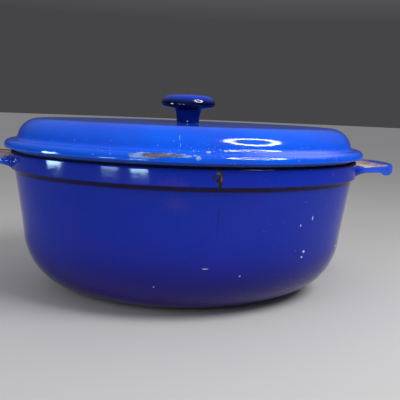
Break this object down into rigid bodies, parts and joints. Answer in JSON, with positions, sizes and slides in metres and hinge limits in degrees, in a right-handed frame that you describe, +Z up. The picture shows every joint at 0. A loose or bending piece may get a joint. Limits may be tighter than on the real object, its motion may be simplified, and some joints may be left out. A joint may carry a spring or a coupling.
{
  "type": "covered casserole pot",
  "caption": "Oval enamelled cast-iron casserole with a stepped rim band, two solid end handles and a lift-off flanged lid with a round knob.",
  "frame": {"origin": "middle of the plane that the foot ring rests on", "axes": "+X along the pot's long axis towards the right handle, +Z up, -Y towards the viewer"},
  "size_m": [0.395, 0.2674, 0.1804],
  "materials": {
    "blue_enamel": "glossy cobalt vitreous enamel over cast iron, chipped and worn at the edges",
    "lid_enamel": "glossy bright cobalt vitreous enamel over cast iron, chipped at the flange",
    "cream_enamel": "satin cream vitreous enamel",
    "knob_resin": "polished dark heat-proof resin",
    "insert_brass": "turned brass",
    "fastener_steel": "plain stainless steel"
  },
  "bodies": {
    "pot": {"pot_body": "blue_enamel", "handle_left": "blue_enamel", "handle_right": "blue_enamel", "pot_lining": "cream_enamel"},
    "lid": {"lid_shell": "lid_enamel", "lid_lining": "cream_enamel", "knob": "knob_resin", "knob_insert": "insert_brass", "knob_screw": "fastener_steel", "screw_washer": "fastener_steel"}
  },
  "joints": [
    {"name": "lid_lift", "type": "slide", "parent": "pot", "child": "lid", "axis": [0, 0, 1], "range_m": [0, 0.15]}
  ]
}
